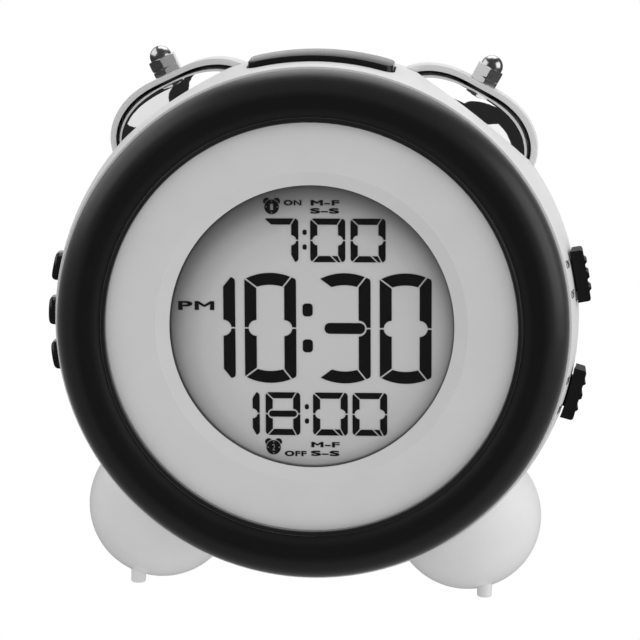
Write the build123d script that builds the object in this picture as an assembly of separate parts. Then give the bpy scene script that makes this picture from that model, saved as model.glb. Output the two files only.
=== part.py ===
from build123d import *
import os
from math import cos, radians, sin, sqrt

# Twin-bell digital alarm clock. Lengths in millimetres, angles in degrees.
# X points to the clock's right as it faces the viewer, Y to its rear, Z up.
# Every piece is drawn about the body's own front-to-rear axis and lifted onto its feet at the end.
# A depth is measured to the rear from the front edge of the body.

# Body
BARREL_R = 62.5
BARREL_CROWN = 2.0
BODY_DEPTH = 50.0
REAR_SHOULDER = 7.5
REAR_ROUND = 10.0
WALL = 2.2
FRONT_LEDGE = 1.0

# Front ring
RING_INSET = 0.5
RING_WIDTH = 12.0
RING_HEIGHT = 6.5
RING_EDGE = 0.6
RING_SLOPE = 6.0
RING_LIP_R = 0.6
RING_LIP_HEIGHT = 5.0

# Face bezel and window
BEZEL_RISE = 3.6
BEZEL_DISH = 0.4
BEZEL_WALL = 1.5
BEZEL_TUCK = 3.8
BEZEL_SKIRT = 1.8
FACE_WIDTH = 14.7
BEVEL_WIDTH = 3.2
BEVEL_DROP = 1.0
BEZEL_LIP = 0.3
WINDOW_TUCK = 2.0
WINDOW_WALL = 1.2
WINDOW_SEAT = 2.2

# Display stack
GLASS_TUCK = 1.7
GLASS_CORNER_SHARE = 0.2
GLASS_WALL = 2.2
GLASS_GAP = 0.4
GLASS_DROP = 0.25
FRAME_LIP = 3.2
FRAME_FLANGE = 2.0
FRAME_GAP = 0.2
GUIDE_SIDE_INSET = 5.0
GUIDE_END_INSET = 8.5
GUIDE_GAP = 0.3
STRIP_LENGTH_SHARE = 0.657
STRIP_WALL = 2.2
STRIP_END_INSET = 3.0
STANDOFF_R = 3.0
STANDOFF_HEIGHT = 1.1
STANDOFF_INSET = 2.5
STANDOFF_ANGLE = 46.85
BOARD_WALL = 1.6
BOARD_INSET = 2.0
CHIP_R = 9.0
CHIP_HEIGHT = 1.8
CRYSTAL_R = 1.5
CRYSTAL_LENGTH = 7.0
CRYSTAL_X = 18.0

# Bells, their hoods and the hardware that hangs each bell from its hood
BELL_R = 18.7
BELL_HEIGHT = 15.0
BELL_WALL = 0.9
BELL_FLAT_R = 5.0
BELL_SHOULDER = 11.0
BELL_GAP = 0.4
BELL_DEPTH_SHARE = 0.48
BELL_TILT = 27.0
HOOD_STAND = 5.12
HOOD_ANGLE = 56.22
HOOD_WALL = 1.3
BOLT_R = 1.5
BOLT_HEAD_R = 2.8
BOLT_HEAD = 1.8
BOLT_REACH = 3.4
WASHER_R = 4.0
WASHER_WALL = 0.6
NUT_FLATS = 6.3
NUT_TURN = 30
JAM_HEIGHT = 1.5
NUT_HEX_HEIGHT = 2.6
NUT_DOME_R = 2.65
NUT_DOME_WALL = 0.3

# Feet
FOOT_R = 18.0
FOOT_WALL = 2.5
FOOT_SINK = 0.7
FOOT_ANGLE = 37.2
FOOT_BOSS_R = 4.5
FOOT_SCREW_R = 1.4
FOOT_SCREW_LENGTH = 9.0
FOOT_SCREW_HEAD_R = 2.6
FOOT_SCREW_HEAD = 1.8
PEG_R = 1.8
PEG_OUT = 4.9
PEG_FRONT = 6.5
PEG_REAR = 9.0
PEG_LENGTH = 6.4
PEG_ROUND = 0.5
PEG_STAND = 0.5

# Stations on the rim: a small board in two rails behind each group of buttons or switches
STATION_DROP = 10.8
STATION_WALL = 1.2
STATION_STOP = 2.0
STATION_CENTRE_SHARE = 0.55
RAIL_WALL = 1.2
RAIL_GRIP = 1.5
RAIL_STOP = 5.0
FLANGE_LIP = 0.8
FLANGE_WALL = 1.0
FLANGE_GAP = 0.4
BUTTON_GAP = 0.35
CAP_SKIN = 1.3
TACT_SIDE = 5.2
TACT_HEIGHT = 2.4
PLUNGER_R = 1.75
PLUNGER_PROUD = 2.6
PLUNGER_SUNK = 0.9
PLUNGER_BORE = 2.0
POST_R = 2.2

# Snooze bar
SNOOZE_LENGTH = 34.0
SNOOZE_WIDTH_SHARE = 0.575
SNOOZE_CORNER = 2.6
SNOOZE_PROUD = 1.2
SNOOZE_ROUND = 0.35
SNOOZE_BOARD = 14.0

# Side keys
KEY_HEIGHT = 6.6
KEY_WIDTH_SHARE = 0.5
KEY_CORNER = 3.2
KEY_PROUD = 1.5
KEY_ROUND = 1.0
KEY_PITCH = 10.7

# Slide switches
KNOB_LENGTH = 12.2
KNOB_WIDTH_SHARE = 0.4
KNOB_BASE = 2.05
KNOB_ROUND = 0.7
KNOB_RIDGE = 0.55
KNOB_RIDGE_PLACE = 3.2
KNOB_RIDGE_WIDTH = 1.2
KNOB_MID_WIDTH = 1.8
KNOB_MID_TOP = 1.0
KNOB_GAP = 0.45
KNOB_STEM_LENGTH = 7.4
KNOB_STEM_WIDTH = 3.2
KNOB_TRAVEL = 2.0
KNOB_UPPER_ANGLE = 11.7
KNOB_LOWER_ANGLE = -13.9
SLIDER_LENGTH = 9.0
SLIDER_WIDTH = 5.0
SLIDER_HEIGHT = 3.4
LEVER_SIDE = 2.0
LEVER_REACH = 3.0
LEVER_SUNK = 1.2
STEM_GAP = 0.5
SWITCH_BOARD = 15.0

# Striker and its motor
MOTOR_Z = 28.0
MOTOR_R = 8.0
MOTOR_LENGTH = 11.0
MOTOR_SETBACK = 4.0
MOTOR_BOSS_R = 3.0
MOTOR_BOSS = 1.0
CUP_WALL = 1.7
CUP_SETBACK = 3.0
CLAMP_HALF = 14.5
CLAMP_HEIGHT = 12.0
CLAMP_WALL = 1.2
CLAMP_POST_R = 2.6
CLAMP_POST_X = 12.0
SHAFT_R = 1.0
SHAFT_SUNK = 2.5
HUB_R = 3.0
HUB_LENGTH = 4.0
ARM_R = 0.9
HEAD_DROP = 9.5
ARM_GRIP = 1.4
HEAD_R = 3.7
HEAD_SOCKET = 2.6

# Battery bay
CELL_R = 7.25
CELL_LENGTH = 50.5
CELL_NUB_R = 2.75
CELL_NUB = 1.0
CELL_COUNT = 3
CELL_GAP = 0.5
CONTACT_SIDE = 9.0
CONTACT_WALL = 0.4
CONTACT_NUB_R = 2.0
CONTACT_NUB = 0.9
BAY_WALL = 1.5
BAY_Z = -10.0
DOOR_WALL = 2.0
DOOR_LIP = 2.0
DOOR_GAP = 0.25
DOOR_GROOVE_R = 3.0
DOOR_GROOVE_LENGTH = 14.0
DOOR_GROOVE_DEPTH = 1.0

# Screws
CASE_SCREW_R = 1.4
CASE_SCREW_LENGTH = 14.0
CASE_SCREW_HEAD_R = 2.3
CASE_SCREW_HEAD = 1.8
CASE_SCREW_INSET = 9.0
CASE_SCREW_SEAT = 4.0
CASE_BOSS_R = 3.0
CASE_TUBE_R = 3.8
CASE_WELL_GAP = 0.3
CASE_UPPER_ANGLE = 27.0
CASE_LOWER_ANGLE = -65.0
SMALL_SCREW_R = 0.9
SMALL_SCREW_HEAD_R = 1.7
SMALL_SCREW_HEAD = 1.1
DISPLAY_SCREW_LENGTH = 3.6
DISPLAY_SCREW_OUT = 1.6
DISPLAY_SCREW_ANGLE = 20.0
BOARD_SCREW_LENGTH = 5.5
CLAMP_SCREW_LENGTH = 7.0

# Fits
FIT = 0.05
OVERRUN = 5.0

# Places worked out from the sizes above
BARREL_EDGE_R = BARREL_R - BARREL_CROWN
REAR_FACE_R = BARREL_EDGE_R - REAR_SHOULDER
PARTING_DEPTH = (BODY_DEPTH - REAR_ROUND) / 2
RING_R = BARREL_EDGE_R - RING_INSET
RING_BORE_R = RING_R - RING_WIDTH
RING_CREST_R = RING_R - RING_SLOPE
FRONT_HOLE_R = RING_BORE_R - FRONT_LEDGE
BEZEL_SKIRT_R = RING_BORE_R + BEZEL_TUCK
SIGHT_R = RING_BORE_R - FACE_WIDTH
WINDOW_R = SIGHT_R + WINDOW_TUCK
GLASS_SIDE = 2 * (SIGHT_R + GLASS_TUCK)
GLASS_CORNER = GLASS_SIDE * GLASS_CORNER_SHARE
FRAME_FLANGE_R = FRONT_HOLE_R + FRAME_LIP
STRIP_PLACE = GLASS_SIDE / 2 - STRIP_END_INSET
MAIN_BOARD_R = FRONT_HOLE_R - BOARD_INSET
STANDOFF_X = (MAIN_BOARD_R - STANDOFF_INSET) * cos(radians(STANDOFF_ANGLE))
STANDOFF_Z = (MAIN_BOARD_R - STANDOFF_INSET) * sin(radians(STANDOFF_ANGLE))
DISPLAY_SCREW_PLACE = FRONT_HOLE_R + DISPLAY_SCREW_OUT
CASE_SCREW_PLACE = BARREL_R - CASE_SCREW_INSET
BELL_DEPTH = BODY_DEPTH * BELL_DEPTH_SHARE
FOOT_DEPTH = BELL_DEPTH
HOOD_X = (BARREL_R + HOOD_STAND) * cos(radians(HOOD_ANGLE))
HOOD_Z = (BARREL_R + HOOD_STAND) * sin(radians(HOOD_ANGLE))
FOOT_REACH = BARREL_R - FOOT_SINK
STATION_R = BARREL_R - STATION_DROP
STATION_REACH = PARTING_DEPTH - STATION_STOP
STATION_CENTRE = PARTING_DEPTH * STATION_CENTRE_SHARE
RAIL_REACH = PARTING_DEPTH - RAIL_STOP
RAIL_TOP = STATION_R + STATION_WALL + RAIL_WALL
SNOOZE_WIDTH = PARTING_DEPTH * SNOOZE_WIDTH_SHARE
KEY_WIDTH = PARTING_DEPTH * KEY_WIDTH_SHARE
KNOB_WIDTH = PARTING_DEPTH * KNOB_WIDTH_SHARE
MOTOR_FRONT = BELL_DEPTH + MOTOR_SETBACK
CUP_FRONT = MOTOR_FRONT + CUP_SETBACK
RING_Y = RING_HEIGHT - (BODY_DEPTH + RING_HEIGHT) / 2
AXIS_Z = FOOT_REACH * cos(radians(FOOT_ANGLE)) + FOOT_R + PEG_STAND
BEZEL_BACK_R = RING_BORE_R
WINDOW_BACK = WINDOW_WALL - WINDOW_SEAT + BEZEL_LIP
GLASS_FRONT = WINDOW_BACK + GLASS_DROP
GLASS_BACK = GLASS_FRONT + GLASS_WALL
FRAME_BACK = WALL + FRAME_FLANGE
BOARD_FRONT = FRAME_BACK + STANDOFF_HEIGHT
BOARD_BACK = BOARD_FRONT + BOARD_WALL
HOOD_R = BELL_R + BELL_GAP + HOOD_WALL
BELL_CROWN = -HOOD_WALL - WASHER_WALL
POCKET_DEPTH = HOOD_WALL + WASHER_WALL + BELL_HEIGHT + FLANGE_GAP
TACT_TOP = STATION_R + STATION_WALL + TACT_HEIGHT
PLUNGER_TOP = TACT_TOP + PLUNGER_PROUD
SLIDER_TOP = STATION_R + STATION_WALL + SLIDER_HEIGHT
KNOB_BOTTOM = BARREL_R + KNOB_GAP
MOTOR_BACK = MOTOR_FRONT + MOTOR_LENGTH
CLAMP_FRONT = MOTOR_FRONT - CLAMP_WALL
CELL_PITCH = 2 * CELL_R + CELL_GAP
CELL_SPAN = CELL_LENGTH + CELL_NUB
BAY_LENGTH = CELL_SPAN + 2 * (CONTACT_WALL + CONTACT_NUB)
BAY_HEIGHT = CELL_COUNT * CELL_PITCH + CELL_GAP
DOOR_FRONT = BODY_DEPTH - DOOR_WALL
BAY_FLOOR = DOOR_FRONT - CELL_GAP - 2 * CELL_R - CELL_GAP
SCREW_SEAT_DEPTH = PARTING_DEPTH + CASE_SCREW_SEAT


def depth(distance):
    return RING_Y + distance


def block(x0, x1, t0, t1, z0, z1):
    middle = Pos((x0 + x1) / 2, depth((t0 + t1) / 2), (z0 + z1) / 2)
    return middle * Box(x1 - x0, t1 - t0, z1 - z0)


def rod_back(radius, t0, t1, x=0, z=0):
    return Pos(x, depth((t0 + t1) / 2), z) * Rot(90, 0, 0) * Cylinder(radius, t1 - t0)


def rod_out(radius, x0, x1, distance, z=0):
    return Pos((x0 + x1) / 2, depth(distance), z) * Rot(0, 90, 0) * Cylinder(radius, x1 - x0)


def rod_up(radius, z0, z1):
    return Pos(0, 0, (z0 + z1) / 2) * Cylinder(radius, z1 - z0)


def turned(outline):
    return revolve(make_face(outline), Axis.Y)


def turned_up(outline):
    return Rot(90, 0, 0) * turned(outline)


def turn(angle):
    return Rot(0, -angle, 0)


def around(radius, angle):
    return radius * cos(radians(angle)), radius * sin(radians(angle))


def pair(shape):
    return [shape, mirror(shape, about=Plane.YZ)]


def gather(shapes):
    return Compound(children=[solid for shape in shapes for solid in shape.solids()])


# Barrel: a shallow barrel with a rounded rear edge, moved inwards by an inset
def barrel(inset):
    edge = BARREL_EDGE_R - inset
    front = depth(inset)
    rear_start = depth(BODY_DEPTH - REAR_ROUND)
    rear = depth(BODY_DEPTH - inset)
    flat = REAR_FACE_R - inset
    outline = Line((0, front), (edge, front))
    outline += ThreePointArc((edge, front), (BARREL_R - inset, depth(PARTING_DEPTH)), (edge, rear_start))
    outline += EllipticalCenterArc((flat, rear_start), edge - flat, rear - rear_start)
    outline += Polyline((flat, rear), (0, rear), (0, front))
    return turned(outline)


# Dome: a flat crown, an elliptical shoulder and a straight wall, with its crown at height zero
def dome(radius, flat, shoulder, height):
    outline = Line((0, 0), (flat, 0))
    outline += EllipticalCenterArc((flat, -shoulder), radius - flat, shoulder)
    outline += Polyline((radius, -shoulder), (radius, -height), (0, -height), (0, 0))
    return turned_up(outline)


def at_bell(shape):
    return Pos(HOOD_X, depth(BELL_DEPTH), HOOD_Z) * Rot(0, BELL_TILT, 0) * shape


def hood_outer():
    flat = BELL_FLAT_R + BELL_GAP
    return at_bell(dome(HOOD_R, flat, BELL_SHOULDER + HOOD_WALL, POCKET_DEPTH))


def bell_pocket():
    space = dome(HOOD_R - HOOD_WALL, BELL_FLAT_R, BELL_SHOULDER, POCKET_DEPTH)
    return at_bell(Pos(0, 0, -HOOD_WALL) * space)


# Rim stations
def station_board(length):
    half = length / 2
    return block(STATION_R, STATION_R + STATION_WALL, WALL, STATION_REACH, -half, half)


def station_rails(length):
    half = length / 2
    rails = None
    for side in (-1, 1):
        ends = sorted((side * (half - RAIL_GRIP), side * (half + RAIL_WALL)))
        rail = block(STATION_R - RAIL_WALL, RAIL_TOP,
                     WALL / 2, RAIL_REACH, ends[0], ends[1])
        rails = rail if rails is None else rails + rail
    groove = block(STATION_R - FIT, STATION_R + STATION_WALL + FIT,
                   WALL, STATION_REACH, -half - FIT, half + FIT)
    return rails - groove


def plan_prism(width, height, corner, inner, outer, z=0):
    sketch = Plane.YZ * RectangleRounded(width, height, corner)
    return Pos(inner, depth(STATION_CENTRE), z) * extrude(sketch, outer - inner)


# A button with a domed cap that follows the barrel, a flange under the wall and a post to its switch
def rim_button(width, height, corner, proud, rounding, z=0):
    outer = BARREL_R + proud + OVERRUN
    under = WALL + FLANGE_GAP + FLANGE_WALL
    cap = plan_prism(width, height, corner, TACT_TOP, outer, z) & barrel(-proud)
    cap = fillet(cap.faces().sort_by(Axis.X)[-1].edges(), rounding)
    lip = 2 * FLANGE_LIP
    skirt = plan_prism(width + lip, height + lip, corner + FLANGE_LIP, TACT_TOP, outer, z)
    button = cap + (skirt & barrel(WALL + FLANGE_GAP)) - barrel(under)
    skin = 2 * CAP_SKIN
    hollow = plan_prism(width - skin, height - skin, corner - CAP_SKIN, TACT_TOP, outer, z)
    button -= hollow & barrel(CAP_SKIN - proud)
    post = rod_out(POST_R, PLUNGER_TOP, outer, STATION_CENTRE, z) & barrel(CAP_SKIN / 2 - proud)
    return button + post


def rim_button_hole(width, height, corner, z=0):
    gap = 2 * BUTTON_GAP
    outer = BARREL_R + OVERRUN
    return plan_prism(width + gap, height + gap, corner + BUTTON_GAP, RAIL_TOP + FIT, outer, z)


def tact_switch(z=0):
    half = TACT_SIDE / 2
    base = STATION_R + STATION_WALL
    body = block(base, TACT_TOP, STATION_CENTRE - half, STATION_CENTRE + half, z - half, z + half)
    return body - rod_out(PLUNGER_R + FIT, TACT_TOP - PLUNGER_BORE, TACT_TOP + OVERRUN, STATION_CENTRE, z)


def tact_plunger(z=0):
    return rod_out(PLUNGER_R, TACT_TOP - PLUNGER_SUNK, PLUNGER_TOP, STATION_CENTRE, z)


# Snooze bar on top
SNOOZE = turn(90)


def snooze_button():
    return SNOOZE * rim_button(SNOOZE_WIDTH, SNOOZE_LENGTH, SNOOZE_CORNER, SNOOZE_PROUD, SNOOZE_ROUND)


def snooze_hole():
    return SNOOZE * rim_button_hole(SNOOZE_WIDTH, SNOOZE_LENGTH, SNOOZE_CORNER)


# Three keys on the left side; turned half round, so the upper key has the lowest local place
KEYS = turn(180)
KEY_PLACES = {"upper": -KEY_PITCH, "middle": 0, "lower": KEY_PITCH}
KEY_BOARD = 2 * KEY_PITCH + TACT_SIDE + 2 * RAIL_GRIP


def side_key(z):
    return KEYS * rim_button(KEY_WIDTH, KEY_HEIGHT, KEY_CORNER, KEY_PROUD, KEY_ROUND, z)


def key_holes():
    holes = [rim_button_hole(KEY_WIDTH, KEY_HEIGHT, KEY_CORNER, z) for z in KEY_PLACES.values()]
    return [KEYS * hole for hole in holes]


# Two slide switches on the right side
KNOB_ANGLES = {"upper": KNOB_UPPER_ANGLE, "lower": KNOB_LOWER_ANGLE}
KNOB_SLIDES = {"upper": -1, "lower": 1}


# The knob's side view: a block with rounded ends, a pointed ridge near each end and a wide one between
def knob_face():
    half = KNOB_LENGTH / 2
    base = KNOB_BOTTOM + KNOB_BASE
    top = base + KNOB_RIDGE
    rise = KNOB_RIDGE_WIDTH / 2
    side = [(KNOB_BOTTOM - OVERRUN, half), (base, half), (base, KNOB_RIDGE_PLACE + rise),
            (top, KNOB_RIDGE_PLACE), (base, KNOB_RIDGE_PLACE - rise),
            (base, KNOB_MID_WIDTH / 2), (top, KNOB_MID_TOP / 2)]
    other = [(radius, -place) for radius, place in reversed(side)]
    face = make_face(Polyline(side + other, close=True))
    ends = [corner for corner in face.vertices() if abs(corner.Y) > half - FIT and corner.X > KNOB_BOTTOM]
    return fillet(ends, KNOB_ROUND)


def knob_stem(gap, inner, outer, slide):
    length = KNOB_STEM_LENGTH / 2 + gap
    width = KNOB_STEM_WIDTH / 2 + gap
    low = -length + min(0, slide * KNOB_TRAVEL)
    high = length + max(0, slide * KNOB_TRAVEL)
    return block(inner, outer, STATION_CENTRE - width, STATION_CENTRE + width, low, high)


def lever(gap, inner, outer, slide):
    half = LEVER_SIDE / 2 + gap
    low = -half + min(0, slide * KNOB_TRAVEL)
    high = half + max(0, slide * KNOB_TRAVEL)
    return block(inner, outer, STATION_CENTRE - half, STATION_CENTRE + half, low, high)


LEVER_BOTTOM = SLIDER_TOP - LEVER_SUNK
LEVER_TOP = SLIDER_TOP + LEVER_REACH


def switch_knob(which):
    side_view = Plane.XZ.offset(-depth(STATION_CENTRE + KNOB_WIDTH / 2)) * knob_face()
    knob = extrude(side_view, KNOB_WIDTH) - barrel(-KNOB_GAP)
    knob += knob_stem(0, SLIDER_TOP + STEM_GAP, KNOB_BOTTOM + KNOB_BASE / 2, 0)
    knob -= lever(FIT, SLIDER_TOP, LEVER_TOP + FIT, 0)
    return turn(KNOB_ANGLES[which]) * knob


def switch_lever(which):
    return turn(KNOB_ANGLES[which]) * lever(0, LEVER_BOTTOM, LEVER_TOP, 0)


def knob_slot(which):
    slot = knob_stem(BUTTON_GAP, SLIDER_TOP, BARREL_R + OVERRUN, KNOB_SLIDES[which])
    return turn(KNOB_ANGLES[which]) * slot


def slide_switch(which):
    middle = KNOB_SLIDES[which] * KNOB_TRAVEL / 2
    half = SLIDER_LENGTH / 2
    width = SLIDER_WIDTH / 2
    base = STATION_R + STATION_WALL
    body = block(base, SLIDER_TOP, STATION_CENTRE - width, STATION_CENTRE + width,
                 middle - half, middle + half)
    slot = lever(BUTTON_GAP, LEVER_BOTTOM - FIT, SLIDER_TOP + OVERRUN, KNOB_SLIDES[which])
    return turn(KNOB_ANGLES[which]) * (body - slot)


# Case screws
def case_places():
    for angle in (CASE_UPPER_ANGLE, CASE_LOWER_ANGLE):
        x, z = around(CASE_SCREW_PLACE, angle)
        yield x, z
        yield -x, z


def case_screw(x, z):
    tip = SCREW_SEAT_DEPTH - CASE_SCREW_LENGTH
    shank = rod_back(CASE_SCREW_R, tip, SCREW_SEAT_DEPTH, x, z)
    return shank + rod_back(CASE_SCREW_HEAD_R, SCREW_SEAT_DEPTH, SCREW_SEAT_DEPTH + CASE_SCREW_HEAD, x, z)


# Small screws, driven from the rear; a seat is the depth of the face under the head
def small_screw(seat, length, x, z):
    shank = rod_back(SMALL_SCREW_R, seat - length, seat, x, z)
    return shank + rod_back(SMALL_SCREW_HEAD_R, seat, seat + SMALL_SCREW_HEAD, x, z)


def small_hole(seat, length, x, z):
    return rod_back(SMALL_SCREW_R + FIT, seat - length - FIT, seat, x, z)


def display_places():
    for angle in (DISPLAY_SCREW_ANGLE, -DISPLAY_SCREW_ANGLE):
        x, z = around(DISPLAY_SCREW_PLACE, angle)
        yield x, z
        yield -x, z


def standoff_places():
    return [(x, z) for x in (-STANDOFF_X, STANDOFF_X) for z in (-STANDOFF_Z, STANDOFF_Z)]


def clamp_places():
    return [(-CLAMP_POST_X, MOTOR_Z), (CLAMP_POST_X, MOTOR_Z)]


# Front half of the case: the barrel's front, its wall, and the places of all that it carries
def front_housing():
    shell = barrel(0) - barrel(WALL) - rod_back(FRONT_HOLE_R, -OVERRUN, BODY_DEPTH)
    reach = 2 * BARREL_R
    shell &= block(-reach, reach, 0, PARTING_DEPTH, -reach, reach)
    for x, z in case_places():
        shell += rod_back(CASE_BOSS_R, WALL / 2, PARTING_DEPTH, x, z)
    shell += SNOOZE * station_rails(SNOOZE_BOARD)
    shell += KEYS * station_rails(KEY_BOARD)
    for which, angle in KNOB_ANGLES.items():
        shell += turn(angle) * station_rails(SWITCH_BOARD)
        shell -= knob_slot(which)
    for hole in [snooze_hole()] + key_holes() + pair(bell_pocket()):
        shell -= hole
    for x, z in case_places():
        tip = SCREW_SEAT_DEPTH - CASE_SCREW_LENGTH
        shell -= rod_back(CASE_SCREW_R + FIT, tip - FIT, BODY_DEPTH, x, z)
    for x, z in display_places():
        shell -= small_hole(FRAME_BACK, DISPLAY_SCREW_LENGTH, x, z)
    return shell


# Battery bay, open to the rear
def bay(inset, floor, rear):
    half_x = BAY_LENGTH / 2 + inset
    half_z = BAY_HEIGHT / 2 + inset
    return block(-half_x, half_x, floor, rear, BAY_Z - half_z, BAY_Z + half_z)


# Rear half of the case, with the two hoods that stand over the bells
def rear_housing():
    outer = barrel(0)
    for hood in pair(hood_outer()):
        outer += hood
    shell = outer - barrel(WALL)
    for pocket in pair(bell_pocket()):
        shell -= pocket
    reach = 2 * BARREL_R
    shell &= block(-reach, reach, PARTING_DEPTH, BODY_DEPTH, -reach, reach)
    bosses = bay(BAY_WALL, BAY_FLOOR - BAY_WALL, BODY_DEPTH - WALL / 2)
    bosses += rod_back(MOTOR_R + FIT + CUP_WALL, CUP_FRONT, BODY_DEPTH - WALL / 2, 0, MOTOR_Z)
    for x, z in clamp_places():
        bosses += rod_back(CLAMP_POST_R, MOTOR_FRONT, BODY_DEPTH - WALL / 2, x, z)
    for x, z in case_places():
        bosses += rod_back(CASE_TUBE_R, PARTING_DEPTH, BODY_DEPTH, x, z)
    shell += bosses & barrel(WALL / 2)
    shell -= bay(0, BAY_FLOOR, BODY_DEPTH + OVERRUN)
    shell -= bay(DOOR_LIP, DOOR_FRONT, BODY_DEPTH + OVERRUN)
    shell -= rod_back(MOTOR_R + FIT, CUP_FRONT - OVERRUN, MOTOR_BACK, 0, MOTOR_Z)
    for x, z in clamp_places():
        shell -= small_hole(MOTOR_FRONT + CLAMP_SCREW_LENGTH, CLAMP_SCREW_LENGTH, x, z)
    for x, z in case_places():
        shell -= rod_back(CASE_SCREW_R + FIT, 0, BODY_DEPTH, x, z)
        shell -= rod_back(CASE_SCREW_HEAD_R + CASE_WELL_GAP, SCREW_SEAT_DEPTH, BODY_DEPTH + OVERRUN, x, z)
    for bolt in pair(at_bell(rod_up(BOLT_R + FIT, -OVERRUN, OVERRUN))):
        shell -= bolt
    for screw in foot_pair(foot_screw_hole()):
        shell -= screw
    return shell


# Front ring: a round outer shoulder, a gentle slope inwards from the crest, and a rolled lip round the bore
def front_ring():
    crest = depth(-RING_HEIGHT)
    edge = depth(-RING_EDGE)
    lip_mid = RING_BORE_R + RING_LIP_R
    lip_low = depth(-RING_LIP_HEIGHT)
    foot_r = lip_mid + RING_LIP_R
    run = RING_CREST_R - foot_r
    fall = lip_low - crest
    slope_r = (run * run + fall * fall) / (2 * fall)
    half_run = run / 2
    slope_middle = (RING_CREST_R - half_run, crest + slope_r - sqrt(slope_r * slope_r - half_run * half_run))
    outline = Line((RING_R, depth(0)), (RING_R, edge))
    outline += mirror(EllipticalCenterArc((RING_CREST_R, -edge), RING_SLOPE, edge - crest), about=Plane.XZ)
    outline += ThreePointArc((RING_CREST_R, crest), slope_middle, (foot_r, lip_low))
    outline += ThreePointArc((foot_r, lip_low), (lip_mid, lip_low - RING_LIP_R), (RING_BORE_R, lip_low))
    outline += Polyline((RING_BORE_R, lip_low), (RING_BORE_R, depth(-BEZEL_RISE)),
                        (BEZEL_SKIRT_R + FIT, depth(-BEZEL_RISE)), (BEZEL_SKIRT_R + FIT, depth(0)),
                        (RING_R, depth(0)))
    return turned(outline)


# Face bezel: a shallow dish with a bevel round the sight, a pocket for the window and a skirt
def face_bezel():
    face = -BEZEL_RISE
    bevel_r = SIGHT_R + BEVEL_WIDTH
    bevel_top = face + BEZEL_DISH
    seat = BEZEL_LIP - WINDOW_SEAT
    pocket_r = WINDOW_R + FIT
    rib_r = pocket_r + BEZEL_WALL
    skirt_r = BEZEL_SKIRT_R - BEZEL_SKIRT
    points = [(BEZEL_SKIRT_R, face), (BEZEL_BACK_R, face), (bevel_r, bevel_top),
              (SIGHT_R, bevel_top + BEVEL_DROP), (SIGHT_R, seat), (pocket_r, seat),
              (pocket_r, WINDOW_BACK), (rib_r, WINDOW_BACK), (rib_r, bevel_top + BEZEL_WALL),
              (skirt_r, face + BEZEL_WALL), (skirt_r, 0), (BEZEL_SKIRT_R, 0)]
    return turned(Polyline([(radius, depth(place)) for radius, place in points], close=True))


def display_window():
    return rod_back(WINDOW_R, BEZEL_LIP - WINDOW_SEAT, WINDOW_BACK)


# A square of display glass with its corners cut off
def glass_shape(gap, t0, t1):
    sketch = Plane.XZ * chamfer(Rectangle(GLASS_SIDE, GLASS_SIDE).vertices(), GLASS_CORNER)
    if gap:
        sketch = offset(sketch, gap)
    return Pos(0, depth(t1), 0) * extrude(sketch, t1 - t0)


def lcd_glass():
    return glass_shape(0, GLASS_FRONT, GLASS_BACK)


def guide_shape(gap, t0, t1):
    half_x = GLASS_SIDE / 2 - GUIDE_SIDE_INSET + gap
    half_z = GLASS_SIDE / 2 - GUIDE_END_INSET + gap
    return block(-half_x, half_x, t0, t1, -half_z, half_z)


def strip_shape(gap, t0, t1, side):
    half_x = GLASS_SIDE / 2 * STRIP_LENGTH_SHARE + gap
    half_z = STRIP_WALL / 2 + gap
    place = side * STRIP_PLACE
    return block(-half_x, half_x, t0, t1, place - half_z, place + half_z)


def lcd_frame():
    frame = rod_back(FRONT_HOLE_R - FRAME_GAP, WINDOW_BACK, FRAME_BACK)
    frame += rod_back(FRAME_FLANGE_R, WALL, FRAME_BACK)
    for x, z in standoff_places():
        frame += rod_back(STANDOFF_R, GLASS_BACK, BOARD_FRONT, x, z)
    frame -= glass_shape(GLASS_GAP, GLASS_FRONT - OVERRUN, GLASS_BACK)
    frame -= guide_shape(GUIDE_GAP, -OVERRUN, BODY_DEPTH)
    for side in (-1, 1):
        frame -= strip_shape(GUIDE_GAP, -OVERRUN, BODY_DEPTH, side)
    for x, z in standoff_places():
        frame -= small_hole(BOARD_BACK, BOARD_SCREW_LENGTH, x, z)
    for x, z in display_places():
        frame -= small_hole(FRAME_BACK, DISPLAY_SCREW_LENGTH, x, z)
    return frame


def main_board():
    board = rod_back(MAIN_BOARD_R, BOARD_FRONT, BOARD_BACK)
    for x, z in standoff_places():
        board -= small_hole(BOARD_BACK, BOARD_SCREW_LENGTH, x, z)
    return board


# The driver chip under its drop of resin
def chip_blob():
    top = depth(BOARD_BACK + CHIP_HEIGHT)
    base = depth(BOARD_BACK)
    rise = (CHIP_R * CHIP_R + CHIP_HEIGHT * CHIP_HEIGHT) / (2 * CHIP_HEIGHT)
    half_r = CHIP_R / 2
    mid = top - rise + sqrt(rise * rise - half_r * half_r)
    outline = ThreePointArc((CHIP_R, base), (half_r, mid), (0, top))
    outline += Polyline((0, top), (0, base), (CHIP_R, base))
    return turned(outline)


def crystal_can():
    can = Cylinder(CRYSTAL_R, CRYSTAL_LENGTH)
    return Pos(CRYSTAL_X, depth(BOARD_BACK + CRYSTAL_R), 0) * can


# Bells and their hardware, drawn upright with the hood's crown at height zero
def bell():
    outer = dome(BELL_R, BELL_FLAT_R, BELL_SHOULDER, BELL_HEIGHT)
    inner = dome(BELL_R - BELL_WALL, BELL_FLAT_R, BELL_SHOULDER - BELL_WALL, BELL_HEIGHT)
    shell = outer - Pos(0, 0, -BELL_WALL) * inner - rod_up(BOLT_R + FIT, -BELL_HEIGHT, OVERRUN)
    return Pos(0, 0, BELL_CROWN) * shell


def bell_bolt():
    seat = BELL_CROWN - BELL_WALL
    return rod_up(BOLT_HEAD_R, seat - BOLT_HEAD, seat) + rod_up(BOLT_R, seat, BOLT_REACH)


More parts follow.
